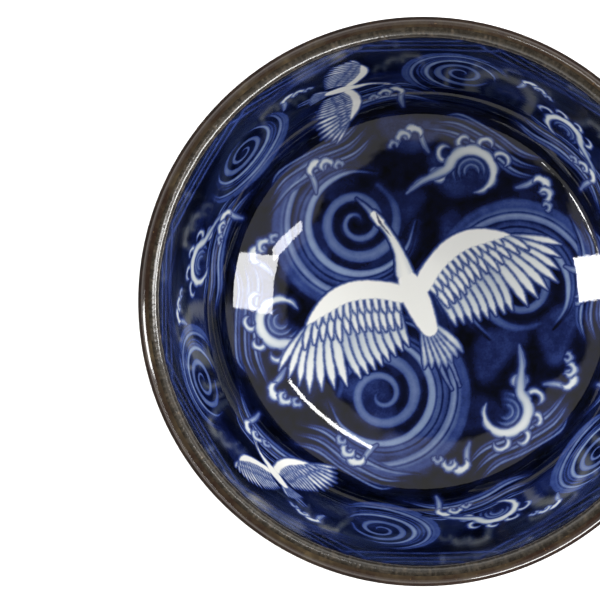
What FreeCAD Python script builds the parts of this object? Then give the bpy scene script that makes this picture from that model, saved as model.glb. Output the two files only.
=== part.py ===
"""Handleless teacup: a low bowl-shaped porcelain cup on a turned foot ring.

The cup is built up in the order in which it is made.  A thrown clay body stands on a
luted foot ring.  Cobalt print lies on the inside of the body: one round sheet in the
well and four fans up the wall.  A clear glaze covers the print, an iron glaze covers
the outside and rolls over the outer half of the lip, and an iron wash bands the inner
half of the lip.  Every coat is a solid of its own that lies on the body face to face.

Units are millimetres.  +Z is up, and the origin is the centre of the foot's underside.
"""

import FreeCAD, Part

import math
import os

# ---- driving dimensions ---------------------------------------------------------------
MOUTH_RADIUS = 45.0          # widest point of the lip
FLOOR_HEIGHT = 9.0           # inside floor at the axis, above the table

# Inside, from the axis up to the lip: (arc radius, slope in degrees at its upper end).
INSIDE_ARCS = [(90.0, 12.0), (36.8, 31.0), (12.8, 65.0), (71.0, 88.0)]
WELL_EDGE_SLOPE = 31.0       # the round print ends and the fans begin here

# Outside, from the lip down: (arc radius, slope in degrees at its lower end).
OUTSIDE_ARCS = [(80.0, 62.0), (14.0, 20.0)]

COAT = 0.45                  # glaze and print together, everywhere on the body
PRINT = 0.12                 # cobalt print under the clear glaze
LIP_STEP = 0.09              # the lip band lies this much lower than the iron glaze
RECESS_GLAZE = 0.30          # glaze disc inside the foot ring
PRINT_FANS = 4               # sheets of print round the wall
LIP_SEAM_ANGLE = 90.0        # iron glaze meets lip band at the crown of the lip

GLAZE_END_RADIUS = 24.6      # the iron glaze stops short of the foot
FOOT_OUTER_RADIUS = 22.8     # at the joint with the body
FOOT_INNER_RADIUS = 18.8
FOOT_TAPER = 0.5             # both faces draw in towards the table
FOOT_EDGE = 0.6              # rounding of the ring's two lower edges
RECESS_GLAZE_RADIUS = 18.3

FULL_TURN = 360.0
OUT = "parts"


# ---- points and edges in the X-Z half plane --------------------------------------------
def vector(r, z):
    return FreeCAD.Vector(r, 0.0, z)


def on_arc(arc, slope, inset=0.0):
    """The point of an arc where the wall has this slope, sunk into the clay by inset."""
    r, z, radius, side = arc
    a = math.radians(slope)
    reach = radius + side * inset
    return (r + reach * math.sin(a), z - reach * math.cos(a))


def arc_edge(arc, start, end, inset=0.0):
    """One arc of the wall between two slopes."""
    stops = (start, (start + end) / 2.0, end)
    return Part.Arc(*[vector(*on_arc(arc, s, inset)) for s in stops]).toShape()


def line_edge(a, b):
    return Part.LineSegment(vector(*a), vector(*b)).toShape()


def chain_edges(chain, low, high, inset=0.0):
    """The edges of a chain of arcs, from the lower slope to the higher one."""
    edges = []
    for arc, start, end in chain:
        s, e = max(start, low), min(end, high)
        if e - s > 1e-6:
            edges.append(arc_edge(arc, s, e, inset))
    return edges


def revolve(edges, angle=FULL_TURN, start=0.0):
    """The solid that a closed outline sweeps about the cup's axis."""
    face = Part.Face(Part.Wire(Part.__sortEdges__(edges)))
    axis = FreeCAD.Vector(0, 0, 1)
    solid = face.revolve(FreeCAD.Vector(0, 0, 0), axis, angle)
    solid.rotate(FreeCAD.Vector(0, 0, 0), axis, start)
    return solid


# ---- the curves that every piece shares ------------------------------------------------
def inside_chain():
    """[(arc, start slope, end slope)] of the inside, each arc tangent to the one below."""
    chain = []
    r, z, slope = 0.0, FLOOR_HEIGHT, 0.0
    for radius, top in INSIDE_ARCS:
        a = math.radians(slope)
        arc = (r - radius * math.sin(a), z + radius * math.cos(a), radius, 1.0)
        chain.append((arc, slope, top))
        r, z = on_arc(arc, top)
        slope = top
    return chain


def lip_circle(chain):
    """(r, z, radius) of the half-round lip, tangent to the top of the inside wall."""
    arc, _, slope = chain[-1]
    r, z = on_arc(arc, slope)
    radius = (MOUTH_RADIUS - r) / (1.0 + math.sin(math.radians(slope)))
    a = math.radians(slope)
    return (r + radius * math.sin(a), z - radius * math.cos(a), radius)


def outside_chain(lip):
    """The outside arcs, from the foot up, so that slopes rise along the chain."""
    top = INSIDE_ARCS[-1][1]
    a = math.radians(top)
    r, z = lip[0] + lip[2] * math.sin(a), lip[1] - lip[2] * math.cos(a)
    chain = []
    for radius, bottom in OUTSIDE_ARCS:
        a = math.radians(top)
        arc = (r - radius * math.sin(a), z + radius * math.cos(a), radius, -1.0)
        chain.insert(0, (arc, bottom, top))
        r, z = on_arc(arc, bottom)
        top = bottom
    return chain


def on_lip(lip, angle, inset=0.0):
    a = math.radians(angle)
    reach = lip[2] - inset
    return (lip[0] + reach * math.cos(a), lip[1] + reach * math.sin(a))


def lip_edge(lip, start, end, inset=0.0):
    stops = (start, (start + end) / 2.0, end)
    return Part.Arc(*[vector(*on_lip(lip, s, inset)) for s in stops]).toShape()


def under_slope(chain, radius, inset=0.0):
    """A point of the straight underside that runs in from the lowest outside arc."""
    arc, slope, _ = chain[0]
    r, z = on_arc(arc, slope, inset)
    return (radius, z - (r - radius) * math.tan(math.radians(slope)))


INSIDE = inside_chain()
LIP = lip_circle(INSIDE)
OUTSIDE = outside_chain(LIP)
WALL_TOP_SLOPE = INSIDE_ARCS[-1][1]
LIP_START = WALL_TOP_SLOPE + 90.0          # lip angle at the inside wall
LIP_END = WALL_TOP_SLOPE - 90.0            # lip angle at the outside wall
UNDER_SLOPE = OUTSIDE_ARCS[-1][1]
SEAT_HEIGHT = under_slope(OUTSIDE, FOOT_OUTER_RADIUS, COAT)[1]


# ---- pieces ----------------------------------------------------------------------------
def porcelain_body():
    """Thrown wall and floor: everything under the coats, down to the flat foot joint."""
    edges = chain_edges(INSIDE, 0.0, WALL_TOP_SLOPE, COAT)
    edges.append(lip_edge(LIP, LIP_START, LIP_END, COAT))
    edges += chain_edges(OUTSIDE, UNDER_SLOPE, WALL_TOP_SLOPE, COAT)
    shoulder = on_arc(OUTSIDE[0][0], UNDER_SLOPE, COAT)
    joint = (FOOT_OUTER_RADIUS, SEAT_HEIGHT)
    edges.append(line_edge(shoulder, joint))
    edges.append(line_edge(joint, (0.0, SEAT_HEIGHT)))
    edges.append(line_edge((0.0, SEAT_HEIGHT), on_arc(INSIDE[0][0], 0.0, COAT)))
    return revolve(edges)


def foot_ring():
    """Luted ring with tapered faces, rounded lower edges and a flat bearing face."""
    outer, inner = FOOT_OUTER_RADIUS - FOOT_TAPER, FOOT_INNER_RADIUS + FOOT_TAPER
    e = FOOT_EDGE
    k = e * (1.0 - math.sqrt(0.5))
    edges = [
        line_edge((FOOT_INNER_RADIUS, SEAT_HEIGHT), (FOOT_OUTER_RADIUS, SEAT_HEIGHT)),
        line_edge((FOOT_OUTER_RADIUS, SEAT_HEIGHT), (outer, e)),
        Part.Arc(vector(outer, e), vector(outer - k, k), vector(outer - e, 0.0)).toShape(),
        line_edge((outer - e, 0.0), (inner + e, 0.0)),
        Part.Arc(vector(inner + e, 0.0), vector(inner + k, k), vector(inner, e)).toShape(),
        line_edge((inner, e), (FOOT_INNER_RADIUS, SEAT_HEIGHT)),
    ]
    return revolve(edges)


def inside_coat(low, high, top, bottom, angle=FULL_TURN, start=0.0):
    """A coat on the inside between two slopes, from inset top down to inset bottom."""
    edges = chain_edges(INSIDE, low, high, top) + chain_edges(INSIDE, low, high, bottom)
    for slope in (low, high):
        arc = next(a for a, s, e in INSIDE if s <= slope <= e)
        edges.append(line_edge(on_arc(arc, slope, top), on_arc(arc, slope, bottom)))
    return revolve(edges, angle, start)


def inner_glaze():
    """Clear glaze over the print, from the middle of the well up to the lip band."""
    return inside_coat(0.0, WALL_TOP_SLOPE, 0.0, COAT - PRINT)


def well_print():
    """Round sheet of cobalt print in the well."""
    return inside_coat(0.0, WELL_EDGE_SLOPE, COAT - PRINT, COAT)


def wall_print(number):
    """One fan of cobalt print on the wall."""
    share = FULL_TURN / PRINT_FANS
    return inside_coat(
        WELL_EDGE_SLOPE, WALL_TOP_SLOPE, COAT - PRINT, COAT, share, share * number
    )


def lip_band():
    """Iron wash on the inner half of the lip, a little lower than the glaze beside it."""
    edges = [
        lip_edge(LIP, LIP_SEAM_ANGLE, LIP_START, LIP_STEP),
        lip_edge(LIP, LIP_SEAM_ANGLE, LIP_START, COAT),
    ]
    for angle in (LIP_SEAM_ANGLE, LIP_START):
        edges.append(line_edge(on_lip(LIP, angle, LIP_STEP), on_lip(LIP, angle, COAT)))
    return revolve(edges)


def outer_glaze():
    """Iron glaze from the crown of the lip down the outside to just above the foot."""
    end_outer = under_slope(OUTSIDE, GLAZE_END_RADIUS)
    end_inner = under_slope(OUTSIDE, GLAZE_END_RADIUS, COAT)
    edges = [line_edge(end_outer, end_inner)]
    for inset, end in ((0.0, end_outer), (COAT, end_inner)):
        edges.append(lip_edge(LIP, LIP_END, LIP_SEAM_ANGLE, inset))
        edges += chain_edges(OUTSIDE, UNDER_SLOPE, WALL_TOP_SLOPE, inset)
        edges.append(line_edge(on_arc(OUTSIDE[0][0], UNDER_SLOPE, inset), end))
    crown = [on_lip(LIP, LIP_SEAM_ANGLE, i) for i in (0.0, COAT)]
    edges.append(line_edge(*crown))
    return revolve(edges)


def foot_recess_glaze():
    """Disc of iron glaze on the underside, inside the foot ring."""
    low = SEAT_HEIGHT - RECESS_GLAZE
    return Part.makeCylinder(RECESS_GLAZE_RADIUS, RECESS_GLAZE, FreeCAD.Vector(0, 0, low))


def pieces():
    found = {
        "porcelain_body": porcelain_body(),
        "foot_ring": foot_ring(),
        "well_print": well_print(),
        "inner_glaze": inner_glaze(),
        "outer_glaze": outer_glaze(),
        "lip_band": lip_band(),
        "foot_recess_glaze": foot_recess_glaze(),
    }
    for number in range(PRINT_FANS):
        found[f"wall_print_{number + 1}"] = wall_print(number)
    return found


def main():
    os.makedirs(OUT, exist_ok=True)
    for name, shape in pieces().items():
        if not shape.isValid() or len(shape.Solids) != 1:
            raise RuntimeError(f"{name} isn't one valid solid")
        shape.exportStep(os.path.join(OUT, name + ".step"))
        box = shape.BoundBox
        print(f"{name}: {shape.Volume / 1000:.2f} cm3, z {box.ZMin:.2f} to {box.ZMax:.2f}")


main()
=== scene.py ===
import collections
import math

import bmesh
import bpy
import mathutils
import numpy as np
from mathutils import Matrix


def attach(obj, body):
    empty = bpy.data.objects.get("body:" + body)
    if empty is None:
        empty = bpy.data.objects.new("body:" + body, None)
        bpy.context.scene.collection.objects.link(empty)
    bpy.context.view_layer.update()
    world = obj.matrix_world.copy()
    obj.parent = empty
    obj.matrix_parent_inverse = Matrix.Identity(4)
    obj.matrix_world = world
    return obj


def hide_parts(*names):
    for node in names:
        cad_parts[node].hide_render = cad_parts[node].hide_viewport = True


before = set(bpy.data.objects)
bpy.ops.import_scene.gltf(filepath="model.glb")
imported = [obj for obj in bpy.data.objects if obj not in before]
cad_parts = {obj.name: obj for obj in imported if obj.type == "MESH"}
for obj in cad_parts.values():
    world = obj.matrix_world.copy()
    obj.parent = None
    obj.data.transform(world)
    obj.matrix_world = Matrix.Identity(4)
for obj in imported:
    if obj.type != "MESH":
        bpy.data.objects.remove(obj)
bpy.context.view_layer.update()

# A handleless porcelain teacup.  Lengths are millimetres until put() turns them into metres.
MM = 0.001
TURN = 2.0 * math.pi
NOTHING = 1e-9

# ---- the cup's curves, the same as the CAD model's
FLOOR_HEIGHT = 9.0  # inside floor at the axis, above the table
# From the axis up to the lip: (arc radius, slope in degrees at its upper end).
INSIDE_ARCS = [(90.0, 12.0), (36.8, 31.0), (12.8, 65.0), (71.0, 88.0)]
WELL_ARCS = 2  # the well's round sheet covers this many of them
# From the lip down: (arc radius, slope in degrees at its lower end).
OUTSIDE_ARCS = [(80.0, 62.0), (14.0, 20.0)]
MOUTH_RADIUS = 45.0
COAT = 0.45  # glaze and print together
LIP_STEP = 0.09  # the lip band lies this much lower than the iron glaze
GLAZE_END_RADIUS = 24.6
FOOT_OUTER_RADIUS = 22.8
FOOT_INNER_RADIUS = 18.8
FOOT_TAPER = 0.5
FOOT_EDGE = 0.6  # rounding of the foot's lower edges
RECESS_GLAZE = 0.30  # thickness
RECESS_GLAZE_RADIUS = 18.3


def arc_point(arc, slope, inset=0.0):
    """The point of an arc at a slope, sunk into the clay by inset."""
    r, z, radius, side = arc
    reach = radius + side * inset
    return r + reach * math.sin(slope), z - reach * math.cos(slope)


def arc_chain(arcs, r, z, slope, side):
    """[(arc, slope at its start, slope at its end)], each arc tangent to the one before it."""
    chain = []
    for radius, end in arcs:
        end = math.radians(end)
        arc = (r - radius * math.sin(slope), z + radius * math.cos(slope), radius, side)
        chain.append((arc, slope, end))
        r, z = arc_point(arc, end)
        slope = end
    return chain


INSIDE = arc_chain(INSIDE_ARCS, 0.0, FLOOR_HEIGHT, 0.0, 1.0)
WALL_TOP_SLOPE = INSIDE[-1][2]


def lip_circle():
    """(r, z, radius) of the half-round lip."""
    arc, _, slope = INSIDE[-1]
    r, z = arc_point(arc, slope)
    radius = (MOUTH_RADIUS - r) / (1.0 + math.sin(slope))
    return r + radius * math.sin(slope), z - radius * math.cos(slope), radius


LIP = lip_circle()
LIP_CROWN = 90.0  # angles round the lip, in degrees
LIP_INSIDE = math.degrees(WALL_TOP_SLOPE) + 90.0
LIP_OUTSIDE = math.degrees(WALL_TOP_SLOPE) - 90.0


def outside_chain():
    """The outside arcs from the foot up, so that slopes rise along the chain."""
    top = WALL_TOP_SLOPE
    r, z = LIP[0] + LIP[2] * math.sin(top), LIP[1] - LIP[2] * math.cos(top)
    down = arc_chain(OUTSIDE_ARCS, r, z, top, -1.0)
    return [(arc, end, start) for arc, start, end in reversed(down)]


OUTSIDE = outside_chain()
UNDER_SLOPE = OUTSIDE[0][1]


def chain_points(chain, step, inset=0.0):
    """Points up a chain of arcs, about step apart."""
    points = []
    for arc, start, end in chain:
        count = max(2, round(arc[2] * (end - start) / step))
        points += [arc_point(arc, start + (end - start) * i / count, inset) for i in range(count)]
    arc, _, end = chain[-1]
    return points + [arc_point(arc, end, inset)]


def lip_points(start, end, count, inset=0.0):
    """Points round the lip between two angles."""
    angles = [math.radians(start + (end - start) * i / count) for i in range(count + 1)]
    reach = LIP[2] - inset
    return [(LIP[0] + reach * math.cos(a), LIP[1] + reach * math.sin(a)) for a in angles]


def under_point(radius, inset=0.0):
    """A point of the straight underside that runs in from the lowest outside arc."""
    r, z = arc_point(OUTSIDE[0][0], UNDER_SLOPE, inset)
    return radius, z - (r - radius) * math.tan(UNDER_SLOPE)


def straight(a, b, steps):
    """Points from a to b, without a itself."""
    return [tuple(p + (q - p) * k / steps for p, q in zip(a, b)) for k in range(1, steps + 1)]


SEAT_HEIGHT = under_point(FOOT_OUTER_RADIUS, COAT)[1]

# Distance along the inside from the axis to the end of each arc.
ARC_STOPS = np.concatenate([[0.0], np.cumsum([a[2] * (e - s) for a, s, e in INSIDE])])
WELL_EDGE = float(ARC_STOPS[WELL_ARCS])
WALL_TOP = float(ARC_STOPS[-1])


def inside_surface(s, inset=0.0):
    """(r, z) of the inside at distances s along it from the axis."""
    s = np.asarray(s, float)
    r, z = np.zeros_like(s), np.zeros_like(s)
    for k, (arc, start, _) in enumerate(INSIDE):
        last = k == len(INSIDE) - 1
        on = (s >= ARC_STOPS[k]) & ((s < ARC_STOPS[k + 1]) | last)
        slope = start + (s[on] - ARC_STOPS[k]) / arc[2]
        r[on] = arc[0] + (arc[2] + inset) * np.sin(slope)
        z[on] = arc[1] - (arc[2] + inset) * np.cos(slope)
    return r, z


# ---- meshes
SHARP_ANGLE = 40.0  # edges that bend more than this many degrees are sharp


def add_object(name, data):
    made = bpy.data.objects.new(name, data)
    bpy.context.scene.collection.objects.link(made)
    return made


def put(name, points, faces, node, slot, material):
    """Makes a piece from millimetre points.  It rides on the cup's body."""
    mesh = bpy.data.meshes.new(name)
    mesh.from_pydata((np.asarray(points) * MM).tolist(), [], faces)
    mesh.validate()
    shell = bmesh.new()
    shell.from_mesh(mesh)
    bmesh.ops.recalc_face_normals(shell, faces=shell.faces)
    shell.to_mesh(mesh)
    shell.free()
    mesh.shade_smooth()
    mesh.set_sharp_from_angle(angle=math.radians(SHARP_ANGLE))
    piece = add_object(name, mesh)
    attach(piece, "root")
    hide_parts(*node)
    mesh.materials.append(material)
    return piece


def turned(profile, segments):
    """Points and faces of a closed outline [(r, z)] turned about the axis.  A point on the axis
    is a pole."""
    points, rows = [], []
    angles = np.arange(segments) * TURN / segments
    for r, z in profile:
        if r < NOTHING:
            rows.append([len(points)] * segments)
            points.append((0.0, 0.0, z))
            continue
        rows.append(list(range(len(points), len(points) + segments)))
        height = np.full(segments, float(z))
        points += list(zip(r * np.cos(angles), r * np.sin(angles), height))
    faces = []
    count = len(rows)
    for i in range(count):
        low, high = rows[i], rows[(i + 1) % count]
        if low[0] == low[1] and high[0] == high[1]:
            continue
        for j in range(segments):
            k = (j + 1) % segments
            corners = (low[j], high[j], high[k], low[k])
            faces.append(tuple(dict.fromkeys(corners)))
    return points, faces


def give(piece, name, values):
    """Adds a number for every point of a piece, for its material to read."""
    field = piece.data.attributes.new(name, "FLOAT", "POINT")
    field.data.foreach_set("value", np.asarray(values, np.float32))


def flat_points(piece):
    flat = np.zeros(len(piece.data.vertices) * 3, np.float32)
    piece.data.vertices.foreach_get("co", flat)
    return flat


def coordinates(piece):
    """(r, theta, z) of a piece's points in millimetres."""
    x, y, z = flat_points(piece).reshape(-1, 3).T / MM
    return np.hypot(x, y), np.arctan2(y, x), z


def move(piece, shift):
    """Adds a shift in millimetres to every point of a piece."""
    moved = flat_points(piece) + (shift * MM).astype(np.float32).ravel()
    piece.data.vertices.foreach_set("co", moved)
    piece.data.update()


# ---- small tools for shader nodes
class Nodes:
    """Builds the node tree of a material or a world.  Colours are linear RGB."""

    def __init__(self, owner, shader="Principled BSDF"):
        self.owner = owner
        owner.use_nodes = True
        self.tree = owner.node_tree
        self.shader = self.tree.nodes[shader]

    def new(self, kind, **settings):
        node = self.tree.nodes.new("ShaderNode" + kind)
        for key, value in settings.items():
            setattr(node, key, value)
        return node

    def feed(self, socket, value):
        """Links an output to an input, or sets the input to a plain value."""
        if isinstance(value, bpy.types.NodeSocket):
            self.tree.links.new(value, socket)
        elif isinstance(value, tuple) and len(value) == 3 and socket.type == "RGBA":
            socket.default_value = (*value, 1.0)
        else:
            socket.default_value = value

    def fill(self, node, **sockets):
        for name, value in sockets.items():
            self.feed(node.inputs[name.replace("_", " ")], value)

    def where(self, stretch=(1.0, 1.0, 1.0)):
        """Object coordinates in millimetres."""
        coordinates = self.new("TexCoord")
        scaled = self.new("VectorMath", operation="MULTIPLY")
        self.feed(scaled.inputs[0], coordinates.outputs["Object"])
        scaled.inputs[1].default_value = tuple(v / MM for v in stretch)
        return scaled.outputs[0]

    def height(self, vector):
        parts = self.new("SeparateXYZ")
        self.feed(parts.inputs[0], vector)
        return parts.outputs["Z"]

    def attribute(self, name):
        return self.new("Attribute", attribute_name=name).outputs["Fac"]

    def noise(self, at, size, detail=3.0, roughness=0.55):
        """Noise from 0 to 1 with features about size millimetres across."""
        node = self.new("TexNoise")
        self.fill(node, Vector=at, Scale=1.0 / size, Detail=detail, Roughness=roughness)
        return node.outputs["Fac"]

    def maths(self, operation, *values, clamp=False):
        node = self.new("Math", operation=operation, use_clamp=clamp)
        for socket, value in zip(node.inputs, values):
            self.feed(socket, value)
        return node.outputs[0]

    def total(self, first, *others):
        for value in others:
            first = self.maths("ADD", first, value)
        return first

    def sway(self, value, middle, amount):
        """How far a value is from its middle, times amount."""
        return self.maths("MULTIPLY", self.maths("SUBTRACT", value, middle), amount)

    def spread(self, value, low, high, to_low=0.0, to_high=1.0, smooth=True):
        """Maps low..high to to_low..to_high, held at both ends."""
        node = self.new("MapRange", interpolation_type="SMOOTHSTEP" if smooth else "LINEAR")
        self.fill(node, Value=value, From_Min=low, From_Max=high, To_Min=to_low, To_Max=to_high)
        return node.outputs["Result"]

    def mix(self, share, a, b):
        node = self.new("Mix", data_type="RGBA")
        self.fill(node, Factor=share, A=a, B=b)
        return next(o for o in node.outputs if o.type == "RGBA")

    def ramp(self, value, stops):
        """Colours by value: stops is [(value, colour)], and values run from 0 to 1."""
        node = self.new("ValToRGB")
        self.fill(node, Fac=value)
        marks = node.color_ramp.elements
        while len(marks) < len(stops):
            marks.new(0.5)
        for mark, (position, colour) in zip(marks, stops):
            mark.position = position
            mark.color = (*colour, 1.0)
        return node.outputs["Color"]

    def bump(self, height, depth, **before):
        """A bump of depth millimetres for heights from 0 to 1."""
        node = self.new("Bump")
        self.fill(node, Height=height, Strength=1.0, Distance=depth * MM, **before)
        return node.outputs["Normal"]

    def set(self, **sockets):
        self.fill(self.shader, **sockets)
        return self.owner


def material_nodes(name):
    return Nodes(bpy.data.materials.new(name))


# From the black ground to the palest blue.
COBALT_TONES = [
    (0.0, (0.0005, 0.0009, 0.0026)),
    (0.15, (0.0024, 0.0042, 0.023)),
    (0.3, (0.0075, 0.014, 0.072)),
    (0.45, (0.027, 0.05, 0.19)),
    (0.6, (0.064, 0.102, 0.25)),
    (0.8, (0.12, 0.165, 0.32)),
    (1.0, (0.21, 0.28, 0.43)),
]
# From the reserved white to blue.
WHITE_SHADES = [
    (0.0, (0.835, 0.83, 0.775)),
    (0.25, (0.56, 0.6, 0.61)),
    (0.5, (0.27, 0.33, 0.44)),
    (0.75, (0.085, 0.125, 0.275)),
    (1.0, (0.02, 0.038, 0.15)),
]
# From where the iron glaze lies thick to where it runs thin.
IRON_TONES = [
    (0.0, (0.006, 0.0035, 0.0028)),
    (0.3, (0.016, 0.009, 0.0062)),
    (0.55, (0.028, 0.02, 0.012)),
    (0.78, (0.064, 0.046, 0.024)),
    (1.0, (0.17, 0.098, 0.04)),
]
# The same of the wash.
WASH_TONES = [
    (0.0, (0.01, 0.008, 0.006)),
    (0.35, (0.018, 0.015, 0.011)),
    (0.65, (0.034, 0.027, 0.02)),
    (0.85, (0.065, 0.05, 0.034)),
    (1.0, (0.15, 0.105, 0.065)),
]


def cobalt_under_glaze():
    """Cobalt painting under a clear glaze.  The meshes say where the paint is: white is
    millimetres inside a reserved white shape, line the same for a drawn dark line, shade turns
    white towards blue, and tone is the blue of the brushwork, from black ground to pale."""
    n = material_nodes("cobalt_under_glaze")
    at = n.where()
    grain = n.noise(at, 0.35, 2.0)
    cloud = n.noise(at, 2.2, 4.0, 0.6)
    drift = n.noise(at, 7.5, 3.0)
    wobble = n.sway(n.noise(at, 0.8, 2.0), 0.5, 0.26)
    white = n.maths("ADD", n.attribute("white"), wobble)
    line = n.maths("ADD", n.attribute("line"), wobble)

    mottle = n.total(n.sway(cloud, 0.5, 0.30), n.sway(drift, 0.45, 0.26), n.sway(grain, 0.5, 0.12))
    tone = n.maths("ADD", n.attribute("tone"), mottle, clamp=True)
    brush = n.ramp(tone, COBALT_TONES)
    fringe = n.mix(n.spread(white, -0.42, -0.04), brush, (0.014, 0.027, 0.135))
    reserve = n.ramp(n.attribute("shade"), WHITE_SHADES)
    edge = n.mix(n.spread(white, -0.14, 0.14), fringe, (0.105, 0.150, 0.320))
    body = n.mix(n.spread(white, 0.02, 0.40), edge, reserve)
    colour = n.mix(n.spread(line, -0.14, 0.12, 0.0, 0.9), body, (0.010, 0.015, 0.085))

    normal = n.bump(n.noise(at, 3.4, 2.0, 0.4), 0.010)
    normal = n.bump(n.noise(at, 0.9, 3.0, 0.6), 0.0032, Normal=normal)
    steep = n.spread(n.height(at), 20.0, 42.0, 0.0, 0.11)
    rough = n.spread(n.noise(at, 5.0, 3.0), 0.3, 0.7, 0.012, 0.035)
    rough = n.maths("ADD", rough, steep)
    return n.set(Base_Color=colour, Roughness=rough, IOR=1.5, Normal=normal)


def iron_glaze():
    """Glossy dark iron glaze that breaks to amber and olive where it runs thin."""
    n = material_nodes("iron_glaze")
    at = n.where()
    cloud = n.noise(at, 5.0, 4.0)
    streak = n.noise(n.where((1.0, 1.0, 0.22)), 1.6, 4.0, 0.6)
    amount = n.total(n.attribute("thin"), n.sway(cloud, 0.5, 0.75), n.sway(streak, 0.5, 0.90))
    colour = n.ramp(n.spread(amount, -0.2, 1.1, smooth=False), IRON_TONES)
    speck = n.spread(n.noise(at, 0.45, 2.0), 0.68, 0.78)
    colour = n.mix(n.maths("MULTIPLY", speck, 0.5), colour, (0.16, 0.095, 0.04))
    normal = n.bump(n.noise(at, 2.2, 2.0, 0.4), 0.02)
    normal = n.bump(n.noise(at, 0.5, 2.0), 0.003, Normal=normal)
    rough = n.spread(cloud, 0.3, 0.7, 0.06, 0.14)
    return n.set(Base_Color=colour, Roughness=rough, IOR=1.5, Normal=normal)


def iron_wash():
    """Thin dry iron wash on the lip: grainy, grey-brown and only half glossy."""
    n = material_nodes("iron_wash")
    at = n.where()
    grain = n.noise(at, 0.45, 4.0, 0.7)
    streak = n.noise(at, 1.3, 3.0, 0.6)
    shares = [(grain, 0.6), (streak, 0.4), (n.attribute("thin"), 0.5)]
    amount = n.total(*[n.maths("MULTIPLY", value, share) for value, share in shares])
    colour = n.ramp(n.spread(amount, 0.3, 0.9, smooth=False), WASH_TONES)
    normal = n.bump(n.noise(at, 0.6, 4.0, 0.7), 0.011)
    rough = n.spread(grain, 0.3, 0.7, 0.12, 0.24)
    return n.set(Base_Color=colour, Roughness=rough, IOR=1.5, Normal=normal)


def bare_clay():
    """Unglazed warm white porcelain, turned and lightly soiled, with kiln sand specks."""
    n = material_nodes("bare_clay")
    at = n.where()
    rings = n.noise(n.where((0.12, 0.12, 6.0)), 2.5, 3.0)
    stain = n.noise(at, 4.0, 4.0, 0.6)
    colour = n.mix(n.spread(stain, 0.35, 0.75), (0.62, 0.56, 0.47), (0.42, 0.33, 0.23))
    colour = n.mix(n.spread(rings, 0.45, 0.75, 0.0, 0.35), colour, (0.30, 0.23, 0.16))
    speck = n.spread(n.noise(at, 0.3, 1.0), 0.72, 0.78)
    colour = n.mix(speck, colour, (0.10, 0.06, 0.03))
    normal = n.bump(n.noise(at, 0.25, 3.0, 0.7), 0.03)
    return n.set(Base_Color=colour, Roughness=0.72, IOR=1.45, Normal=normal)


# ---- the painted inside: one round sheet in the well and four fans up the wall
WELL_RINGS = 155
AROUND = 8 * WELL_RINGS  # points round the well's edge
FANS = 4
WALL_ROWS = 180
BACK_STEP = 10  # a sheet's hidden back has one point for this many on its face
BACK_RINGS = 6
SIDES = 4.0  # marks run from 0 to this round a sheet's border


def well_grid():
    """(theta, s, faces, border, border marks) of a round sheet of even squares."""
    k = WELL_RINGS
    i, j = np.meshgrid(np.arange(-k, k + 1), np.arange(-k, k + 1), indexing="ij")
    ring = np.maximum(np.abs(i), np.abs(j))
    wide = np.abs(i) >= np.abs(j)
    a = np.where(wide, i, j).astype(float)
    b = np.where(wide, j, i).astype(float)
    turn = np.divide(b, a, out=np.zeros_like(b), where=a != 0) * math.pi / 4.0
    theta = np.where(wide, turn, math.pi / 2.0 - turn) + np.where(a < 0, math.pi, 0.0)
    theta = (theta % TURN).ravel()
    s = (ring * WELL_EDGE / k).ravel()
    number = np.arange((2 * k + 1) ** 2).reshape(2 * k + 1, 2 * k + 1)
    faces = np.stack([number[:-1, :-1], number[1:, :-1], number[1:, 1:], number[:-1, 1:]], -1)
    rim = np.flatnonzero(ring.ravel() == k)
    rim = rim[np.argsort(theta[rim])]
    return theta, s, faces.reshape(-1, 4), rim, np.arange(len(rim)) / len(rim) * SIDES


def well_back():
    """The same of the well sheet's hidden back, which is rings about a pole."""
    count = AROUND // BACK_STEP
    theta = np.tile(np.arange(count) * TURN / count, BACK_RINGS)
    s = np.repeat(WELL_EDGE * np.arange(BACK_RINGS, 0, -1) / BACK_RINGS, count)
    faces = []
    for ring in range(BACK_RINGS - 1):
        for k in range(count):
            a, b = ring * count + k, ring * count + (k + 1) % count
            faces.append((a, a + count, b + count, b))
    last, pole = (BACK_RINGS - 1) * count, BACK_RINGS * count
    faces += [(last + k, pole, last + (k + 1) % count) for k in range(count)]
    rim = np.arange(count)
    return np.append(theta, 0.0), np.append(s, 0.0), faces, rim, rim / count * SIDES


def fan_grid(number, rows, columns):
    """The same of one fan of the wall."""
    theta = (number + np.arange(columns + 1) / columns) * TURN / FANS
    s = WELL_EDGE + np.arange(rows + 1) * (WALL_TOP - WELL_EDGE) / rows
    theta, s = np.meshgrid(theta, s)
    return theta.ravel(), s.ravel(), *sheet_faces(rows, columns)


def fan_back(number):
    """The same of one fan's hidden back, whose faces look the other way."""
    rows, columns = WALL_ROWS // BACK_STEP, AROUND // FANS // BACK_STEP
    theta, s, faces, rim, marks = fan_grid(number, rows, columns)
    return theta, s, faces[:, ::-1].tolist(), rim, marks


def sheet_faces(rows, columns):
    """Faces, border and border marks of a rows by columns sheet."""
    number = np.arange((rows + 1) * (columns + 1)).reshape(rows + 1, columns + 1)
    faces = np.stack([number[:-1, :-1], number[:-1, 1:], number[1:, 1:], number[1:, :-1]], -1)
    across, up = np.arange(columns) / columns, np.arange(rows) / rows
    border = np.concatenate([number[0, :-1], number[:-1, -1], number[-1, :0:-1], number[:0:-1, 0]])
    marks = np.concatenate([across, 1 + up, 2 + across, 3 + up])
    return faces.reshape(-1, 4), border, marks


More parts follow.
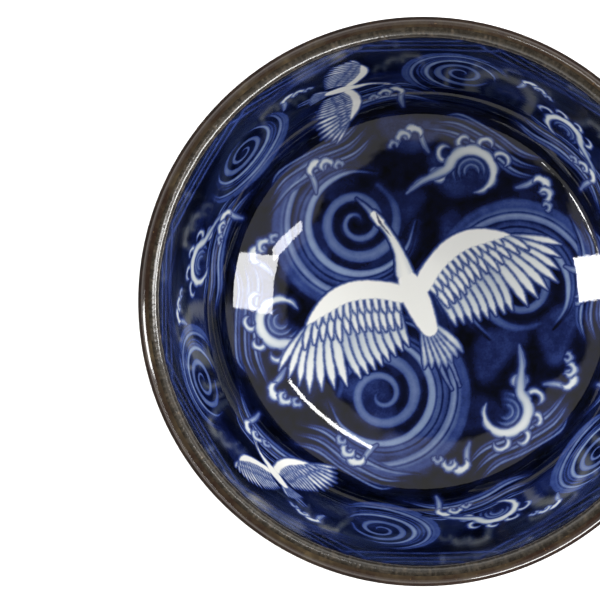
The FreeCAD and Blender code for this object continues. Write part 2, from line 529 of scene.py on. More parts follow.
def stitch(first, first_marks, second, second_marks):
    """Triangles between two closed borders that run the same way, by their marks."""
    faces, i, j = [], 0, 0
    n, m = len(first), len(second)
    while i < n or j < m:
        next_first = first_marks[i + 1] if i + 1 < n else SIDES
        next_second = second_marks[j + 1] if j + 1 < m else SIDES
        if i < n and (j >= m or next_first <= next_second + NOTHING):
            faces.append((first[i % n], first[(i + 1) % n], second[j % m]))
            i += 1
        else:
            faces.append((first[i % n], second[(j + 1) % m], second[j % m]))
            j += 1
    return faces


def on_inside(theta, s, inset=0.0):
    """Points (x, y, z) of the inside."""
    r, z = inside_surface(s, inset)
    return np.stack([r * np.cos(theta), r * np.sin(theta), z], -1)


def painted_sheet(name, node, grid, back, material):
    """A closed sheet as thick as print and glaze together, with the paint on its face."""
    theta, s, faces, rim, marks = grid
    back_theta, back_s, back_faces, back_rim, back_marks = back
    points = np.concatenate([on_inside(theta, s), on_inside(back_theta, back_s, COAT)])
    first = len(theta)
    all_faces = faces.tolist()
    all_faces += [tuple(first + v for v in f) for f in back_faces]
    all_faces += stitch(rim, marks, first + back_rim, back_marks)
    piece = put(name, points, all_faces, node, "cobalt_print", material)
    for field, values in painting(theta, s).items():
        give(piece, field, np.append(values, np.zeros(len(back_theta))))


def painted_sheets():
    """The round sheet in the well and the four fans up the wall."""
    material = cobalt_under_glaze()
    both = ["well_print", "inner_glaze"]
    painted_sheet("glazed_well_painting", both, well_grid(), well_back(), material)
    for k in range(FANS):
        grid = fan_grid(k, WALL_ROWS, AROUND // FANS)
        name, node = f"glazed_wall_painting_{k + 1}", [f"wall_print_{k + 1}"]
        painted_sheet(name, node, grid, fan_back(k), material)


# ---- painting
# A regular pattern in the usual blue and white way: cranes over whirlpools, breakers and foam.
# Each motif is drawn in millimetres about its own middle, x to its right and y up, and
# Painting.at sets it down in the well or on the wall.
FOLLOW = 2.0  # a shape's field is followed this far outside it
SAMPLE = 0.55  # spacing of the points that a smooth line is drawn through
FAR = 1e9
WAVE_LINE = 0.13  # half the width of the dark line in a wave band
LINE_DEPTH = 0.55  # how much that line takes off the band's tone
DARK = 0.03  # the tone of the bare ground in the well
WALL_DARKER = 0.09  # the ground is this much darker up the wall
DARKER_FROM = 30.0  # distances from the axis over which it darkens
DARKER_TO = 46.0
STEP_TURN = 2.4  # radians from one patch of an even scatter to the next
ARC_POINTS = 12  # points in a full turn of an arc

Shape = collections.namedtuple("Shape", "which inside along across wide")


def smooth(value, low, high):
    """Eases from 0 at low to 1 at high."""
    t = np.clip((value - low) / (high - low), 0.0, 1.0)
    return t * t * (3.0 - 2.0 * t)


def evenly(values, at):
    """Values set evenly from 0 to 1, read at the given places."""
    values = np.atleast_1d(values)
    return np.interp(at, np.linspace(0, 1, len(values)), values)


def smooth_line(points, closed=False):
    """Points along a Catmull-Rom curve, and each one's place from 0 to 1 by control point."""
    p = np.asarray(points, float)
    n = len(p)
    spans = n if closed else n - 1
    made, places = [], []
    for k in range(spans):
        a, b = p[k], p[(k + 1) % n]
        before = p[(k - 1) % n] if closed or k > 0 else 2 * a - b
        after = p[(k + 2) % n] if closed or k + 2 < n else 2 * b - a
        count = max(2, math.ceil(np.hypot(*(b - a)) / SAMPLE))
        t = (np.arange(count) / count)[:, None]
        made.append(0.5 * (2 * a + (b - before) * t + (2 * before - 5 * a + 4 * b - after) * t ** 2
                           + (3 * a - 3 * b + after - before) * t ** 3))
        places.append((k + t[:, 0]) / spans)
    made.append(p[:1] if closed else p[-1:])
    places.append([1.0])
    return np.concatenate(made), np.concatenate(places)


class Painting:
    """Paint at points of the inside, given by their angle and their distance from the axis."""

    def __init__(self, theta, s):
        self.theta, self.s = theta, s
        self.r = inside_surface(s)[0]
        self.fields = {
            "white": np.full(theta.shape, -FOLLOW),
            "line": np.full(theta.shape, -FOLLOW),
            "shade": np.zeros(theta.shape),
            "tone": DARK - WALL_DARKER * smooth(s, DARKER_FROM, DARKER_TO),
        }

    def at(self, across, up, turn=0.0, size=1.0, flip=1.0, wall=False):
        """Sets the next motif down: across and up from the middle of the well or, on the wall,
        degrees round it and millimetres up it.  Turn is in degrees, and a flip of -1 mirrors."""
        if wall:
            apart = (self.theta - math.radians(across) + math.pi) % TURN - math.pi
            self.x, self.y = apart * self.r, self.s - up
        else:
            self.x = self.s * np.cos(self.theta) - across
            self.y = self.s * np.sin(self.theta) - up
        a = math.radians(turn)
        self.spin = size * np.array([
            [flip * math.cos(a), flip * math.sin(a)],
            [-math.sin(a), math.cos(a)],
        ])
        self.size, self.flip = size, flip
        return self

    def outwards(self, turn, reach, lean=0.0, size=1.0, flip=1.0):
        """Sets the next motif down in the well at an angle in degrees and a distance from its
        middle.  It stands outwards there but for its lean."""
        a = math.radians(turn)
        return self.at(reach * math.cos(a), reach * math.sin(a), turn - 90.0 + lean, size, flip)

    def near(self, line, reach):
        """Which points are about as near as reach to a line."""
        low, high = line.min(0) - reach, line.max(0) + reach
        x, y = self.x, self.y
        return np.flatnonzero((x > low[0]) & (x < high[0]) & (y > low[1]) & (y < high[1]))

    def stroke(self, points, halves):
        """A brush stroke: inside is millimetres, along runs from 0 to 1 and across from 1, its
        left, to -1, its right; wide is half its width there."""
        line, places = smooth_line(np.asarray(points, float) @ self.spin)
        half = self.size * evenly(halves, places)
        which = self.near(line, half.max() + FOLLOW)
        best = np.full(len(which), -FAR)
        along, across, wide = np.zeros(len(which)), np.zeros(len(which)), np.ones(len(which))
        px, py = self.x[which], self.y[which]
        for k in range(len(line) - 1):
            a, d = line[k], line[k + 1] - line[k]
            length = max(np.hypot(*d), NOTHING)
            t = np.clip(((px - a[0]) * d[0] + (py - a[1]) * d[1]) / length ** 2, 0, 1)
            ox, oy = px - a[0] - t * d[0], py - a[1] - t * d[1]
            w = half[k] + (half[k + 1] - half[k]) * t
            inside = w - np.hypot(ox, oy)
            won = inside > best
            best[won] = inside[won]
            along[won] = (places[k] + (places[k + 1] - places[k]) * t)[won]
            across[won] = ((d[0] * oy - d[1] * ox) / length / np.maximum(w, 0.05))[won]
            wide[won] = w[won]
        return Shape(which, best, along, self.flip * across, wide)

    def area(self, outline):
        """A closed outline, as a shape with nothing along or across it."""
        line, _ = smooth_line(np.asarray(outline, float) @ self.spin, closed=True)
        which = self.near(line, FOLLOW)
        px, py = self.x[which], self.y[which]
        away, within = np.full(len(which), FAR), np.zeros(len(which), bool)
        for a, b in zip(line[:-1], line[1:]):
            d = b - a
            t = np.clip(((px - a[0]) * d[0] + (py - a[1]) * d[1]) / max(d @ d, NOTHING), 0, 1)
            away = np.minimum(away, np.hypot(px - a[0] - t * d[0], py - a[1] - t * d[1]))
            level = (a[1] > py) != (b[1] > py)
            rise = np.where(abs(d[1]) < NOTHING, NOTHING, d[1])
            within ^= level & (px < a[0] + (py - a[1]) * d[0] / rise)
        zero = np.zeros(len(which))
        return Shape(which, np.where(within, away, -away), zero, zero, zero + 1.0)

    def tint(self, shape, level, soft):
        """Lays an even blue over a shape: 0 is black ground and 1 the palest blue."""
        tone = self.fields["tone"]
        tone[shape.which] += (level - tone[shape.which]) * smooth(shape.inside, -soft, soft)

    def glow(self, shape, level, soft):
        """Thins the ground round a shape, fading over soft millimetres outside it."""
        tone = self.fields["tone"]
        lit = level * smooth(shape.inside, -soft, 0.3)
        tone[shape.which] = np.maximum(tone[shape.which], lit)

    def band(self, shape, tones, lines):
        """A wave band.  Tones run across it from its left to its right, and fade towards
        its ends.  Lines are the places of dark lines in it, from 1 to -1 across."""
        level = evenly(tones, 0.5 - 0.5 * np.clip(shape.across, -1, 1))
        level = level * np.interp(shape.along, [0, 0.12, 0.88, 1], [0.5, 1, 1, 0.5])
        for place in lines:
            near = WAVE_LINE - np.abs(shape.across - place) * shape.wide
            level = level * (1.0 - LINE_DEPTH * smooth(near, -0.20, 0.10))
        self.tint(shape, level, 0.22)

    def clear(self, shape, margin, tone=DARK):
        """Bares the ground inside a shape and a margin round it."""
        grown = shape._replace(inside=shape.inside + margin)
        for name in ("white", "line"):
            field = self.fields[name]
            field[shape.which] = np.minimum(field[shape.which], -grown.inside)
        self.tint(grown, tone, 0.2)

    def white(self, shape, shade, edge=0.0):
        """Leaves a shape white.  Shade runs from its start to its end, with edge more at its
        sides."""
        f = self.fields
        which = shape.which
        newer = shape.inside > np.maximum(f["white"][which], -0.6)
        tone = evenly(shade, shape.along) + edge * shape.across ** 2
        f["shade"][which[newer]] = np.clip(tone[newer], 0, 1)
        f["white"][which] = np.maximum(f["white"][which], shape.inside)
        f["line"][which] = np.minimum(f["line"][which], -shape.inside - 0.1)

    def line(self, shape):
        """Draws a shape as a dark line."""
        field = self.fields["line"]
        field[shape.which] = np.maximum(field[shape.which], shape.inside)


def arc(radius, start, end, middle=(0.0, 0.0), grow=0.0):
    """Points round a middle from one angle to another, the radius growing so much a turn."""
    turns = (end - start) / 360.0
    count = max(3, math.ceil(abs(turns) * ARC_POINTS))
    points = []
    for k in range(count + 1):
        a = math.radians(start + (end - start) * k / count)
        reach = radius + grow * abs(turns) * k / count
        points.append((middle[0] + reach * math.cos(a), middle[1] + reach * math.sin(a)))
    return points


FEATHER_BOW = 0.04  # how far a feather bends to its side, as a share of its length


def feather(p, root, tip, half, bow, shade, gap=0.12, blunt=0.2):
    """One feather: narrow at its root, fullest past its middle, with a dark gap round it."""
    root, tip = np.array(root, float), np.array(tip, float)
    run = tip - root
    side = bow * np.array([-run[1], run[0]])
    points = [root, root + run * 0.35 + side * 0.8, root + run * 0.7 + side, tip]
    shape = p.stroke(points, [half * v for v in (0.6, 0.85, 1.0, 1.0, 0.85, blunt)])
    p.clear(shape, gap)
    p.white(shape, shade, 0.15)


def fan(p, roots, tips, count, half, side=1.0, uneven=0.0, **settings):
    """Feathers side by side from a line of roots to a line of tips, mirrored by a side of -1.
    Their lengths are uneven by a share."""
    for k in range(count):
        place = k / (count - 1)
        root, tip = [np.array([evenly(c, place) for c in zip(*line)]) for line in (roots, tips)]
        tip = tip + (tip - root) * uneven * math.sin(2.4 * k * k + 1.0)
        mirror = (side, 1.0)
        wide = float(evenly(half, place))
        feather(p, root * mirror, tip * mirror, wide, side * FEATHER_BOW, **settings)


def waves(p, rows, ground):
    """Wave bands over a thinned ground: (points, half widths, tones, lines)."""
    shapes = [p.stroke(points, halves) for points, halves, _, _ in rows]
    for shape in shapes:
        p.glow(shape, ground, 1.5)
    for shape, (_, _, tones, lines) in zip(shapes, rows):
        p.band(shape, tones, lines)


SCALLOP = 0.30  # how far the scallops of foam swell


def lobed(shape, count):
    """Scallops along the left side of a stroke."""
    side = smooth(shape.across, -0.2, 0.8)
    swell = np.abs(np.sin(math.pi * count * shape.along)) - 0.5
    return shape._replace(inside=shape.inside + SCALLOP * swell * side)


FOAM_GAP = 0.14  # dark gap round a stroke of foam
FOAM_GLOW = 0.30  # how far the ground round it is thinned


def foam(p, rows):
    """Foam: white strokes with blue sides, each (points, half widths, shades, scallops)."""
    shapes = []
    for points, halves, shade, count in rows:
        shape = p.stroke(points, halves)
        shapes.append((lobed(shape, count) if count else shape, shade))
    for shape, _ in shapes:
        p.glow(shape, FOAM_GLOW, 1.3)
    for shape, shade in shapes:
        p.clear(shape, FOAM_GAP, 0.18)
        p.white(shape, shade, 0.40)


# Tones across a wave band, from its left to its right.
FAINT = (0.28, 0.38, 0.28)
EVEN = (0.50, 0.64, 0.72, 0.60, 0.46)
LIT = (0.76, 0.98, 0.90, 0.50, 0.52, 0.44, 0.30)
DEEP = (0.66, 0.90, 0.66, 0.42, 0.46, 0.36)

RINGS = 3  # bands in a current, hooks in a claw, rings in a breaker and an arch
BACK_HOOKS = 5  # hooks along a breaker's back


def whirl(p, ground):
    """A whirlpool: one band that winds out of its middle, and longer arms that follow it."""
    rows = [(arc(0.9, 0, 740, grow=3.6), [0.25, 0.45, 0.62, 0.78, 0.95, 1.15, 0.6], EVEN, ())]
    for k, (tones, lines) in enumerate([(LIT, (0.2, -0.4)), (DEEP, (0.3,))]):
        points = arc(10.6 + 4.4 * k, 30 + 26 * k, 320 - 30 * k, grow=1.2)
        rows.append((points, [0.3, 1.4, 1.9, 2.1, 1.9, 1.3, 0.4], tones, lines))
    waves(p, rows, ground)


def current(p, faint=False):
    """Three bands of water that run side by side to the right, 30 millimetres long."""
    rows = []
    for k in range(RINGS):
        low = 2.5 * k - 2.5
        points = [(-15.0 + 2 * k, low), (-7.0, low + 1.6), (2.0, low + 0.4), (9.0, low - 1.4),
                  (15.0, low - 0.4)]
        tones = FAINT if faint else DEEP if k else LIT
        rows.append((points, [0.2, 0.8, 1.05 - 0.2 * k, 0.8, 0.2], tones, (0.1,)))
    waves(p, rows, 0.05 if faint else 0.14)


def claw(p):
    """Hooks of foam that curl to the right, each smaller than the one before it."""
    rows = [([(-3.0, -3.6), (-2.0, -1.8), (-1.5, 0.2)], [0.2, 0.55, 0.5], (0.7, 0.4), 0)]
    for k in range(RINGS):
        size = 1.5 - 0.38 * k
        middle = (2.1 * k, 0.3 - 1.1 * k * k / 2)
        halves = [0.3, 0.5 * size, 0.62 * size, 0.55 * size, 0.14]
        rows.append((arc(size, 190, -50, middle), halves, 0.16 + 0.14 * k, 3))
    foam(p, rows)


def breaker(p):
    """A breaking wave that curls to the right, with rings inside and hooks along its back."""
    rings = [(arc(1.1 + 1.0 * k, 230, 10), [0.2, 0.4, 0.5, 0.4, 0.15], DEEP, ())
             for k in range(RINGS)]
    waves(p, rings, 0.34)
    rows = []
    for k in range(BACK_HOOKS):
        out = 205 - 40 * k
        a = math.radians(out)
        size = 1.15 + 0.2 * math.sin(2.1 * k)
        middle = (5.6 * math.cos(a), 5.6 * math.sin(a))
        rows.append((arc(size, out + 150, out - 80, middle), [0.2, 0.42, 0.5, 0.36, 0.1], 0.26, 2))
    crest = [(-9.0, -7.6), (-7.2, -4.6), (-5.2, -2.4)] + arc(4.1, 190, -60, grow=-0.6)
    rows.append((crest, [0.2, 0.8, 1.0, 1.0, 0.85, 0.6, 0.16], (0.6, 0.3, 0.16, 0.18, 0.3), 9))
    foam(p, rows)


def wing(p, side):
    """A spread wing: long flight feathers under two rows of coverts, and a white leading edge."""
    arm = [(1.2, 2.8), (4.0, 5.0), (8.0, 6.8), (12.0, 7.0), (15.6, 5.6), (18.4, 3.2), (14.6, 3.4),
           (10.4, 3.7), (6.0, 2.4), (2.0, 0.0)]
    fan(p, [(17.0, 3.4), (15.0, 4.0), (12.8, 4.2)], [(25.6, -1.6), (22.4, -7.0), (16.2, -8.6)], 7,
        [0.62, 0.80, 0.86], side, shade=(0.5, 0.15, 0.05), blunt=0.1)
    fan(p, [(12.0, 4.0), (7.4, 2.8), (3.2, 0.8)], [(13.6, -8.2), (8.8, -7.6), (4.2, -6.6)], 8,
        [0.86, 0.80, 0.62], side, shade=(0.7, 0.3, 0.1), blunt=0.2)
    fan(p, [(16.6, 4.2), (9.6, 4.2), (3.0, 1.4)], [(19.8, 0.2), (11.0, -1.4), (4.2, -3.0)], 13,
        0.56, side, uneven=0.08, shade=(0.6, 0.15, 0.05), blunt=0.4)
    fan(p, [(14.6, 5.2), (8.6, 5.0), (2.4, 2.2)], [(16.4, 2.4), (9.4, 1.2), (3.2, -0.6)], 12,
        0.50, side, uneven=0.10, shade=(0.2, 0.1, 0.2), gap=0.08, blunt=0.3)
    shape = p.area([(side * x, y) for x, y in arm])
    p.white(shape, (0.0,))


def crane(p):
    """A crane seen from above in flight, its wings spread alike and its neck stretched out."""
    right = [(1.5, 4.0), (2.3, 1.0), (2.0, -3.0), (1.1, -6.4)]
    back = [(0.0, 5.6)] + right + [(-x, y) for x, y in reversed(right)]
    for side in (-1.0, 1.0):
        leg = [(side * 0.5, -8.0), (side * 0.9, -12.5), (side * 0.7, -16.0)]
        shape = p.stroke(leg, [0.3, 0.24, 0.12])
        p.clear(shape, 0.2)
        p.white(shape, (0.5, 0.7))
    fan(p, [(-1.3, -5.6), (1.3, -5.6)], [(-3.4, -11.0), (0.0, -12.4), (3.4, -11.0)], 7, 0.56,
        shade=(0.4, 0.2, 0.5))
    for side in (-1.0, 1.0):
        wing(p, side)
    neck = p.stroke([(0.0, 4.6), (0.5, 8.0), (0.3, 11.4), (-0.4, 14.2)], [1.5, 0.85, 0.6, 0.62])
    head = p.stroke([(-0.3, 13.8), (-0.8, 15.4)], [0.82, 0.70])
    bill = p.stroke([(-0.9, 15.6), (-1.5, 17.2), (-2.3, 19.0)], [0.40, 0.26, 0.05])
    for shape in (neck, head, bill):
        p.clear(shape, 0.25)
    p.white(bill, (0.5, 0.7))
    p.white(neck, (0.0, 0.1), 0.3)
    p.white(head, (0.0,))
    p.white(p.area(back), (0.0,))
    p.line(p.stroke([(-0.3, 15.4), (-0.3, 13.6), (0.4, 11.0)], [0.1, 0.24, 0.04]))


WELL_PATCHES = 20
WALL_PATCHES = 18
WELL_REPEATS = 3
WALL_REPEATS = 6
ARCHES = 12


def washes(p):
    """Patches of thinner ground, scattered evenly over the well and round the wall."""
    for k in range(WELL_PATCHES):
        a = STEP_TURN * k
        reach = 29.0 * math.sqrt((k + 0.5) / WELL_PATCHES)
        p.at(reach * math.cos(a), reach * math.sin(a), math.degrees(a) + 80.0)
        p.glow(p.stroke([(-4, -0.8), (0, 0.8), (4, -0.8)], [1.0, 2.6, 1.2]),
               0.26 + 0.12 * math.sin(3.1 * k), 1.9)
    for k in range(WALL_PATCHES):
        p.at(360.0 / WALL_PATCHES * k, 42.0 + 5.0 * math.sin(STEP_TURN * k * k), wall=True)
        p.glow(p.stroke([(-5, -0.8), (0, 0.8), (5, -0.8)], [1.4, 3.0, 1.4]),
               0.16 + 0.10 * math.sin(3.1 * k), 2.0)


def wall_pattern(p):
    """Arches under the lip, whirlpools below them, and breakers and cranes by turns between."""
    arch = [(arc(13.0 - 3.4 * ring, 180, 360), [0.5, 0.7, 0.7, 0.5], FAINT, ())
            for ring in range(RINGS)]
    for k in range(ARCHES):
        waves(p.at(360.0 / ARCHES * k, 68.0, wall=True), arch, 0.05)
    step = 360.0 / WALL_REPEATS
    for k in range(WALL_REPEATS):
        whirl(p.at(step * k + 20.0, 44.5, 40.0 * k, 0.56, (-1.0) ** k, wall=True), 0.06)
    for k in range(WALL_REPEATS):
        current(p.at(step * k + 44.0, 36.5, 4.0, 0.72, wall=True))
        current(p.at(step * k + 2.0, 55.0, -6.0, 0.66, wall=True), faint=True)
    for k in range(WALL_REPEATS):
        across = step * k + 50.0
        if k % 2:
            crane(p.at(across, 42.0, 96.0 + 8.0 * k, 0.50, wall=True))
        else:
            breaker(p.at(across, 41.0, -20.0, 0.84, wall=True))
        claw(p.at(across - 13.0, 36.5, 20.0, 0.74, wall=True))
        claw(p.at(across + 13.0, 49.0, -10.0, 0.74, -1.0, wall=True))


def well_pattern(p):
    """Three whirlpools round the well with breakers between them, and a crane over them all."""
    step = 360.0 / WELL_REPEATS
    for k in range(WELL_REPEATS):
        whirl(p.outwards(step * k + 128.0, 16.5, 2.0, 0.84), 0.20)
    for k in range(2 * WELL_REPEATS):
        current(p.outwards(step / 2 * k + 68.0, 28.5, size=0.72))
    for k in range(WELL_REPEATS):
        turn = step * k + 68.0
        breaker(p.outwards(turn, 23.0, size=0.95))
        for aside, flip in ((-24.0, 1.0), (24.0, -1.0), (60.0, 1.0)):
            claw(p.outwards(turn + aside, 27.5, size=0.8, flip=flip))
    crane(p.at(-0.5, 0.5, 24.0))


def painting(theta, s):
    """The paint at points of the inside."""
    p = Painting(theta, s)
    for layer in (washes, wall_pattern, well_pattern):
        layer(p)
    return p.fields


# ---- lip, outside and foot
FINE_STEP = 0.6  # spacing of points up a wall that is seen
COARSE_STEP = 2.0  # and up one that is hidden

GRAIN_LOBES = [23, 31, 47, 58, 71, 97, 113, 140, 173, 211, 263, 307, 353, 397]
GRAIN_HEIGHT = 0.009
GRAIN_FULL = 0.017  # grain as high as this is as pale as it gets
GRAIN_LEAN = 0.12  # how far a lobe may lean, radians for each degree round the lip
WASH_ENDS = 160.0  # lip angle where the wash starts to grow paler down the inside
WASH_FADE = 18.0

CROWN_START = 0.30  # share of the lip's radius above its middle where the glaze thins
FOOT_POOL_HEIGHT = 9.5  # below this the glaze pools thicker
FOOT_POOL_FADE = 3.0

MARK_DEPTH = 0.035  # turning marks on the foot
OUTER_MARKS = 19.0
INNER_MARKS = 17.0

RECESS_RINGS = 30
RECESS_THINS = 0.93  # share of the radius where the recess glaze starts to thin
RECESS_EDGE = 1.2  # width of its paler edge


def ripple(angles, seed, lobes):
    """A smooth closed wander round the cup, about -1 to 1, made of the given lobe counts."""
    draw = np.random.default_rng(seed)
    total = np.zeros_like(angles)
    for lobe in lobes:
        total += draw.uniform(0.5, 1.0) * np.cos(lobe * angles + draw.uniform(0, TURN))
    return total / len(lobes)


def lip_wash_band():
    """The inner half of the lip: a dry wash with a grain that stands up from the clay."""
    profile = lip_points(LIP_CROWN, LIP_INSIDE, 26, LIP_STEP)
    profile += lip_points(LIP_INSIDE, LIP_CROWN, 8, COAT)
    shape = turned(profile, 1440)
    piece = put("lip_wash_band", *shape, ["lip_band"], "iron_wash", iron_wash())
    r, theta, z = coordinates(piece)
    across, up = r - LIP[0], z - LIP[1]
    reach = np.hypot(across, up)
    outer = np.clip((reach - (LIP[2] - COAT)) / (COAT - LIP_STEP), 0.0, 1.0)
    angle = np.degrees(np.arctan2(up, across))
    grain = np.zeros_like(r)
    draw = np.random.default_rng(11)
    for lobe in GRAIN_LOBES:
        phase = draw.uniform(0, TURN)
        lean = draw.uniform(-GRAIN_LEAN, GRAIN_LEAN)
        grain += np.cos(lobe * theta + phase + lean * angle)
    grain = GRAIN_HEIGHT * grain / math.sqrt(len(GRAIN_LOBES)) * outer
    out = across / reach
    away = np.stack([out * np.cos(theta), out * np.sin(theta), up / reach], -1)
    move(piece, grain[:, None] * away)
    paler_inside = np.clip((angle - WASH_ENDS) / WASH_FADE, 0, 1)
    give(piece, "thin", np.clip(grain / GRAIN_FULL, -1, 1) * 0.4 + 0.5 * paler_inside)


def rolled_bead(end):
    """The rounded end of the iron glaze, from its face to the clay."""
    across = np.array(under_point(GLAZE_END_RADIUS, COAT)) - np.array(end)
    points = []
    steps = 8
    for k in range(steps + 1):
        t = math.pi * k / steps
        r, z = np.array(end) + across * (0.5 - 0.5 * math.cos(t))
        run = math.sin(t) * COAT * 0.5
        points.append((r - run * math.cos(UNDER_SLOPE), z - run * math.sin(UNDER_SLOPE)))
    return points


def outside_glaze():
    """Iron glaze from the lip's crown down the outside, ending in a rolled bead."""
    profile = lip_points(LIP_CROWN, LIP_OUTSIDE, 20)
    profile += chain_points(OUTSIDE, FINE_STEP)[::-1][1:]
    end = under_point(GLAZE_END_RADIUS)
    profile += straight(profile[-1], end, 16)[:-1]
    profile += rolled_bead(end)
    profile += chain_points(OUTSIDE, COARSE_STEP, COAT)
    profile += lip_points(LIP_OUTSIDE, LIP_CROWN, 8, COAT)[1:]
    shape = turned(profile, 720)
    piece = put("outside_iron_glaze", *shape, ["outer_glaze"], "iron_glaze", iron_glaze_material)
    _, theta, z = coordinates(piece)
    crown = np.clip((z - (LIP[1] + LIP[2] * CROWN_START)) / (LIP[2] * (1.0 - CROWN_START)), 0, 1)
    foot = np.clip((FOOT_POOL_HEIGHT - z) / FOOT_POOL_FADE, 0, 1)
    edge = ripple(theta, 5, [3, 7, 11, 19])
    thin = 0.34 * crown ** 2 + 0.22 * edge * crown
    thin += 0.16 * ripple(theta + 0.02 * z, 6, [2, 5, 9]) + 0.05
    thin -= 0.25 * foot
    give(piece, "thin", thin)


def thrown_body():
    """The clay body under the coats, seen only as a bare strip beside the foot."""
    profile = [(0.0, FLOOR_HEIGHT - COAT)]
    s = np.linspace(0.0, WALL_TOP, 60)[1:]
    profile += list(zip(*[v.tolist() for v in inside_surface(s, COAT)]))
    profile += lip_points(LIP_INSIDE, LIP_OUTSIDE, 12, COAT)[1:]
    profile += chain_points(OUTSIDE, COARSE_STEP, COAT)[::-1][1:]
    profile += straight(profile[-1], (FOOT_OUTER_RADIUS, SEAT_HEIGHT), 12)
    profile += [(FOOT_INNER_RADIUS, SEAT_HEIGHT), (0.0, SEAT_HEIGHT)]
    shape = turned(profile, 240)
    put("thrown_body", *shape, ["porcelain_body"], "porcelain", bare_clay_material)


def turning_marks(waves_down):
    """(share of the way along a face of the foot, depth of the mark there)."""
    steps = 24
    stops = [k / steps for k in range(steps + 1)]
    return [(t, abs(MARK_DEPTH * math.sin(t * waves_down) * math.sin(math.pi * t))) for t in stops]


def turned_foot():
    """The foot ring: tapered faces with soft turning marks and rounded lower edges."""
    outer, inner, e = FOOT_OUTER_RADIUS - FOOT_TAPER, FOOT_INNER_RADIUS + FOOT_TAPER, FOOT_EDGE
    profile = []
    for t, mark in turning_marks(OUTER_MARKS):
        z = SEAT_HEIGHT + (e - SEAT_HEIGHT) * t
        profile.append((FOOT_OUTER_RADIUS - FOOT_TAPER * t - mark, z))
    quarter = [math.pi / 2 * k / 8 for k in range(1, 9)]
    profile += [(outer - e + e * math.cos(a), e - e * math.sin(a)) for a in quarter]
    profile += [(inner + e - e * math.sin(a), e - e * math.cos(a)) for a in quarter]
    for t, mark in turning_marks(INNER_MARKS)[1:]:
        z = e + (SEAT_HEIGHT - e) * t
        profile.append((inner - FOOT_TAPER * t + mark, z))
    shape = turned(profile, 480)
    put("turned_foot", *shape, ["foot_ring"], "porcelain", bare_clay_material)


def recess_glaze():
    """Glaze pooled inside the foot, thinner and paler at its edge."""
    profile = []
    for k in range(RECESS_RINGS + 1):
        r = RECESS_GLAZE_RADIUS * k / RECESS_RINGS
        past = max(0.0, (r / RECESS_GLAZE_RADIUS - RECESS_THINS) / (1.0 - RECESS_THINS))
        profile.append((r, SEAT_HEIGHT - RECESS_GLAZE * (1.0 - past ** 2 * 0.8)))
    profile += [(RECESS_GLAZE_RADIUS, SEAT_HEIGHT), (0.0, SEAT_HEIGHT)]
    shape = turned(profile, 360)
    piece = put("recess_glaze", *shape, ["foot_recess_glaze"], "iron_glaze", iron_glaze_material)
    r, theta, _ = coordinates(piece)
    edge = np.clip((r - RECESS_GLAZE_RADIUS + RECESS_EDGE) / RECESS_EDGE, 0, 1)
    give(piece, "thin", 0.15 + 0.6 * edge + 0.1 * ripple(theta, 8, [2, 3, 5]))


# ---- studio
FLOOR_SIZE = 3.0  # metres from the cup to each side of the floor

WORLD_LIGHT = 0.80
DIM_AZIMUTH = 210.0  # the studio is dim over the cup, a little to the left
DIM_ZENITH = 13.0
DIM_RADIUS = 43.0
DIM_SOFT = 2.0
DIM_RAGGED = 0.35  # how torn the dim patch's edge is
DIM_LIGHT = 0.08  # share of the light that is left in it
# (low, high, strength below, strength above) by height of the direction: a dark table, and a
# bright backdrop near the horizon.
HORIZON = [(-0.02, 0.02, 0.06, 1.0), (0.34, 0.42, 2.6, 1.0)]

LIGHT_DISTANCE = 1.1  # metres from the middle of the cup
LIGHT_AIM = 0.03  # its height
# Lights that the glaze mirrors: (name, azimuth, zenith, wide, tall, radiance, roll).
SOFTBOXES = [
    ("softbox_right", -6.5, 52.0, 15.0, 24.0, 17.0),
    ("softbox_flag", -24.0, 40.0, 12.0, 4.4, 17.0, -38.0),
    ("softbox_left", 188.0, 56.0, 12.0, 22.0, 28.0),
    ("strip_back", 50.5, 41.5, 27.0, 1.8, 28.0),
    ("strip_left", 210.0, 59.5, 34.0, 0.5, 45.0),
    ("softbox_low", -34.0, 80.0, 90.0, 9.0, 30.0),
]

CAMERA_X = -19.42  # the photo's frame cuts the cup off at the right
CAMERA_Y = 0.24
CAMERA_HEIGHT = 1250.0
VIEW_WIDTH = 94.64  # what the picture shows across at the distance below
VIEW_DISTANCE = 1200.0
SENSOR = 36.0


def floor_material():
    n = material_nodes("studio_floor")
    cloud = n.noise(n.where(), 400.0, 2.0)
    colour = n.mix(cloud, (0.90, 0.90, 0.90), (0.86, 0.86, 0.86))
    return n.set(Base_Color=colour, Roughness=0.8)


def studio_floor():
    """A plain floor that the glaze doesn't mirror."""
    size = FLOOR_SIZE
    mesh = bpy.data.meshes.new("studio_floor")
    corners = [(-size, -size, 0), (size, -size, 0), (size, size, 0), (-size, size, 0)]
    mesh.from_pydata(corners, [], [(0, 1, 2, 3)])
    floor = add_object("studio_floor", mesh)
    mesh.materials.append(floor_material())
    floor.visible_glossy = False


def direction(azimuth, zenith):
    a, b = math.radians(azimuth), math.radians(zenith)
    return math.sin(b) * math.cos(a), math.sin(b) * math.sin(a), math.cos(b)


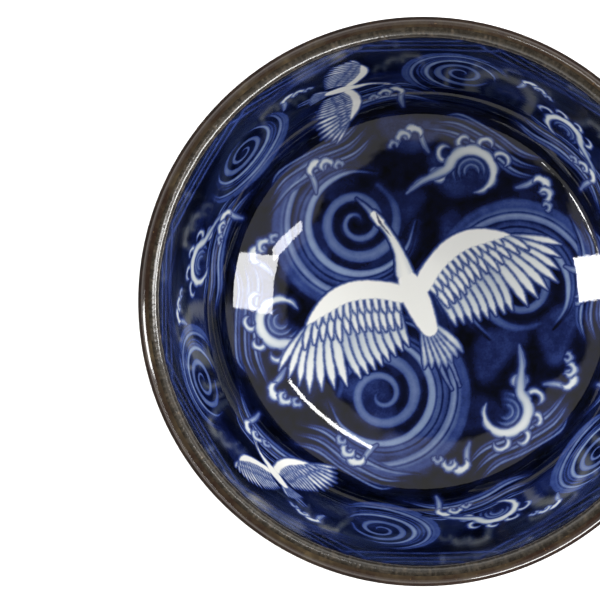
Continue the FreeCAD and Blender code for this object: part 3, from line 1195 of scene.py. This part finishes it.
def studio_world():
    """Even light from all round, but for the dim patch, the dark table and the backdrop."""
    world = bpy.data.worlds.new("studio_world")
    bpy.context.scene.world = world
    n = Nodes(world, "Background")
    look = n.new("TexCoord").outputs["Generated"]
    toward = n.new("VectorMath", operation="DOT_PRODUCT")
    n.feed(toward.inputs[0], look)
    toward.inputs[1].default_value = direction(DIM_AZIMUTH, DIM_ZENITH)
    torn = n.noise(look, 1.0 / 3.0, 4.0, 0.5)
    edge = n.maths("MULTIPLY_ADD", torn, DIM_RAGGED, toward.outputs["Value"])
    middle = DIM_RAGGED / 2
    outer = middle + math.cos(math.radians(DIM_RADIUS + DIM_SOFT))
    inner = middle + math.cos(math.radians(DIM_RADIUS - DIM_SOFT))
    strength = n.spread(edge, outer, inner, WORLD_LIGHT, WORLD_LIGHT * DIM_LIGHT)
    height = n.height(look)
    for low, high, below, above in HORIZON:
        level = n.spread(height, low, high, below, above)
        strength = n.maths("MULTIPLY", strength, level)
    n.set(Strength=strength, Color=(1.0, 0.985, 0.965))


def softbox(name, azimuth, zenith, wide, tall, radiance, roll=0.0, mirrored=True):
    """An area light that faces the cup.  Angles are degrees, wide and tall as seen from the cup.
    One that isn't mirrored lights the cup without showing in its glaze."""
    light = bpy.data.lights.new(name, "AREA")
    light.shape = "RECTANGLE"
    light.size = 2 * LIGHT_DISTANCE * math.tan(math.radians(wide / 2))
    light.size_y = 2 * LIGHT_DISTANCE * math.tan(math.radians(tall / 2))
    light.energy = radiance * math.pi * light.size * light.size_y
    lamp = add_object(name, light)
    x, y, z = direction(azimuth, zenith)
    lamp.location = (LIGHT_DISTANCE * x, LIGHT_DISTANCE * y, LIGHT_DISTANCE * z + LIGHT_AIM)
    turn = mathutils.Matrix.Rotation(math.radians(azimuth), 3, "Z")
    turn = turn @ mathutils.Matrix.Rotation(math.radians(zenith), 3, "Y")
    turn = turn @ mathutils.Matrix.Rotation(math.radians(90.0 + roll), 3, "Z")
    lamp.rotation_euler = turn.to_euler()
    lamp.visible_glossy = mirrored


def camera():
    data = bpy.data.cameras.new("camera")
    data.sensor_width = SENSOR
    data.lens = SENSOR * VIEW_DISTANCE / VIEW_WIDTH
    data.clip_start = 0.01
    data.clip_end = 20.0
    eye = add_object("camera", data)
    eye.location = (CAMERA_X * MM, CAMERA_Y * MM, CAMERA_HEIGHT * MM)
    bpy.context.scene.camera = eye


camera()
bare_clay_material = bare_clay()
iron_glaze_material = iron_glaze()
painted_sheets()
lip_wash_band()
outside_glaze()
thrown_body()
turned_foot()
recess_glaze()
studio_floor()
studio_world()
for settings in SOFTBOXES:
    softbox(*settings)
softbox("fill", azimuth=100.0, zenith=32.0, wide=40.0, tall=40.0, radiance=4.6, mirrored=False)
bpy.context.scene.view_settings.view_transform = "Standard"
bpy.context.view_layer.update()
